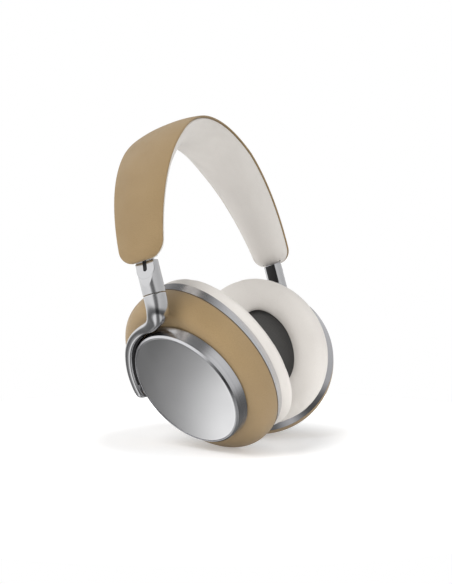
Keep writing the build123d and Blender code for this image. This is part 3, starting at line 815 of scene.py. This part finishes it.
def make_inlays():
    """The dark inlay on the inner side of each upper arm."""
    seam = np.array(joints["right_swivel"]["pos_m"]) / MM
    rows = []
    for height in np.linspace(seam[2] + INLAY_FROM_SEAM, BAND_END_Z - INLAY_BELOW_BAND, 12):
        ring = []
        for radius in (LEG_RADIUS - INLAY_SUNK, LEG_RADIUS + INLAY_PROUD):
            turns = np.radians(np.linspace(-INLAY_HALF_ANGLE, INLAY_HALF_ANGLE, 13))
            turns = turns if radius < LEG_RADIUS else turns[::-1]
            ring += [(seam[0] + radius * math.cos(t), seam[1] + radius * math.sin(t), height)
                     for t in turns]
        rows.append(MM * np.array(ring))
    inlay = skin("right_arm_inlay", rows, wrap_columns=True, caps=True)
    pair(inlay, "arm_inlay", BLACK, [], "slider")


# ---------------------------------------------------------------- studio

CAMERA_AZIMUTH = 65.6
CAMERA_PITCH = 5.55
CAMERA_ROLL = -14.22
CAMERA_PLACE = (-0.4654, -0.2110, -0.1359)
CAMERA_LENS = 55.59
FLOOR_RADII = (0.0, 0.1, 0.2, 0.24)
# painted light: the floor's glow is weak near the contact and rises to full between these distances
FLOOR_FADE = (0.06, 0.13)  # it brightens to white between these distances
LAMP_SIZE, KEY_POWER, FILL_POWER = 0.6, 7.0, 2.5
# stops and shades of the studio's reflections, from below to above and from left to right
HEIGHT_RAMP = ((0.0, 1.0), (0.12, 1.0), (0.16, 0.36), (0.21, 0.13), (0.32, 0.25), (0.43, 0.95),
               (0.64, 1.0), (1.0, 1.0))
SIDE_RAMP = ((0.0, 1.0), (0.28, 1.0), (0.4, 0.2), (0.6, 0.16), (0.72, 0.75), (1.0, 0.6))


def camera_axes():
    """Right, up and back, from the photograph's viewing angle."""
    azimuth, pitch, roll = (math.radians(a) for a in (CAMERA_AZIMUTH, CAMERA_PITCH, CAMERA_ROLL))
    back = -Vector((math.sin(azimuth) * math.cos(pitch), math.cos(azimuth) * math.cos(pitch),
                    math.sin(pitch)))
    side = Vector((math.cos(azimuth), -math.sin(azimuth), 0))
    rise = back.cross(side)
    right = side * math.cos(roll) + rise * math.sin(roll)
    up = rise * math.cos(roll) - side * math.sin(roll)
    return right, up, back


RIGHT, UP, BACK = camera_axes()


def make_camera():
    data = bpy.data.cameras.new("camera")
    data.lens = CAMERA_LENS
    data.sensor_fit = "VERTICAL"
    data.sensor_height = 36
    data.clip_start = 0.01
    camera = bpy.data.objects.new("camera", data)
    bpy.context.scene.collection.objects.link(camera)
    turn = Matrix((RIGHT, UP, BACK)).transposed().to_4x4()
    camera.matrix_world = Matrix.Translation(CAMERA_PLACE) @ turn
    bpy.context.scene.camera = camera


def studio_place(right, up, towards):
    """A place given to the right of, above and nearer than the object's middle."""
    return MIDDLE + right * RIGHT + up * UP + towards * BACK


def soft_light(name, place, size, power):
    data = bpy.data.lights.new(name, "AREA")
    data.shape = "DISK"
    data.size = size
    data.energy = power
    lamp = bpy.data.objects.new(name, data)
    bpy.context.scene.collection.objects.link(lamp)
    lamp.location = place
    lamp.visible_glossy = False
    lamp.rotation_euler = (MIDDLE - place).to_track_quat("-Z", "Y").to_euler()


def make_world():
    """White to look at; a bright ceiling and floor with darker walls in reflections."""
    world = bpy.data.worlds.new("studio")
    bpy.context.scene.world = world
    world.use_nodes = True
    tree = world.node_tree
    tree.nodes.clear()
    link = tree.links.new
    place = tree.nodes.new("ShaderNodeTexCoord").outputs["Generated"]

    def along(direction):
        dot = tree.nodes.new("ShaderNodeVectorMath")
        dot.operation = "DOT_PRODUCT"
        link(place, dot.inputs[0])
        dot.inputs[1].default_value = tuple(direction)
        return dot.outputs["Value"]

    def ramp(value, stops):
        node = tree.nodes.new("ShaderNodeValToRGB")
        shift = tree.nodes.new("ShaderNodeMapRange")
        shift.inputs["From Min"].default_value = -1
        link(value, shift.inputs["Value"])
        link(shift.outputs[0], node.inputs[0])
        while len(node.color_ramp.elements) < len(stops):
            node.color_ramp.elements.new(0.5)
        for element, (position, shade) in zip(node.color_ramp.elements, stops):
            element.position = position
            element.color = (shade, shade, shade, 1)
        return node.outputs[0]

    height = ramp(along(UP), HEIGHT_RAMP)
    sides = ramp(along(RIGHT), SIDE_RAMP)
    both = tree.nodes.new("ShaderNodeMix")
    both.data_type = "RGBA"
    both.blend_type = "MULTIPLY"
    both.inputs[0].default_value = 1.0
    link(height, both.inputs[6])
    link(sides, both.inputs[7])
    lit = tree.nodes.new("ShaderNodeBackground")
    link(both.outputs[2], lit.inputs["Color"])
    lit.inputs["Strength"].default_value = 1.0
    seen = tree.nodes.new("ShaderNodeBackground")
    seen.inputs["Color"].default_value = (1, 1, 1, 1)
    rays = tree.nodes.new("ShaderNodeLightPath")
    mix = tree.nodes.new("ShaderNodeMixShader")
    link(rays.outputs["Is Camera Ray"], mix.inputs[0])
    link(lit.outputs[0], mix.inputs[1])
    link(seen.outputs[0], mix.inputs[2])
    output = tree.nodes.new("ShaderNodeOutputWorld")
    link(mix.outputs[0], output.inputs["Surface"])


def make_floor(shell):
    """A pale, glowing floor, level in the photograph, that the near cup just touches."""
    lowest = min((vertex_array(shell) @ np.array(UP)).tolist())
    centre = MIDDLE + (lowest - MIDDLE.dot(UP)) * UP
    rows = []
    for radius in FLOOR_RADII:
        angles = np.linspace(0, 2 * math.pi, 96, endpoint=False)
        rows.append([centre + radius * (math.cos(a) * RIGHT + math.sin(a) * BACK) for a in angles])
    floor = skin("floor", rows, wrap_columns=True)
    paint = Paint("floor", Roughness=0.3, Specular_IOR_Level=0.4,
                  Emission_Color=(1, 1, 1, 1))
    tone = paint.blend(paint.noise(12), (0.84, 0.84, 0.84, 1), (0.86, 0.86, 0.86, 1))
    offset = paint.add("ShaderNodeVectorMath", {"operation": "DISTANCE"}, _0=paint.place,
                       _1=tuple(centre)).outputs["Value"]
    # painted light: the floor glows, weakly near the cup and fully further out, so it fades into the white
    # backdrop and lights the cups from below
    glow = paint.remap(offset, FLOOR_FADE[0], FLOOR_FADE[1], 0.3, 1.0)
    floor.data.materials.append(paint.drive(Base_Color=tone, Emission_Strength=glow))
    floor.visible_glossy = False


paint_frame()
make_camera()
make_world()
make_cover()
make_cushion()
shell, _ = make_shell()
make_face()
make_pads()
make_arms()
make_painted_gap_shade()
make_inlays()
make_floor(shell)
soft_light("key", studio_place(-0.5, 0.7, 0.6), LAMP_SIZE, KEY_POWER)
soft_light("fill", studio_place(0.6, 0.3, 0.5), LAMP_SIZE, FILL_POWER)
bpy.context.scene.view_settings.view_transform = "Standard"
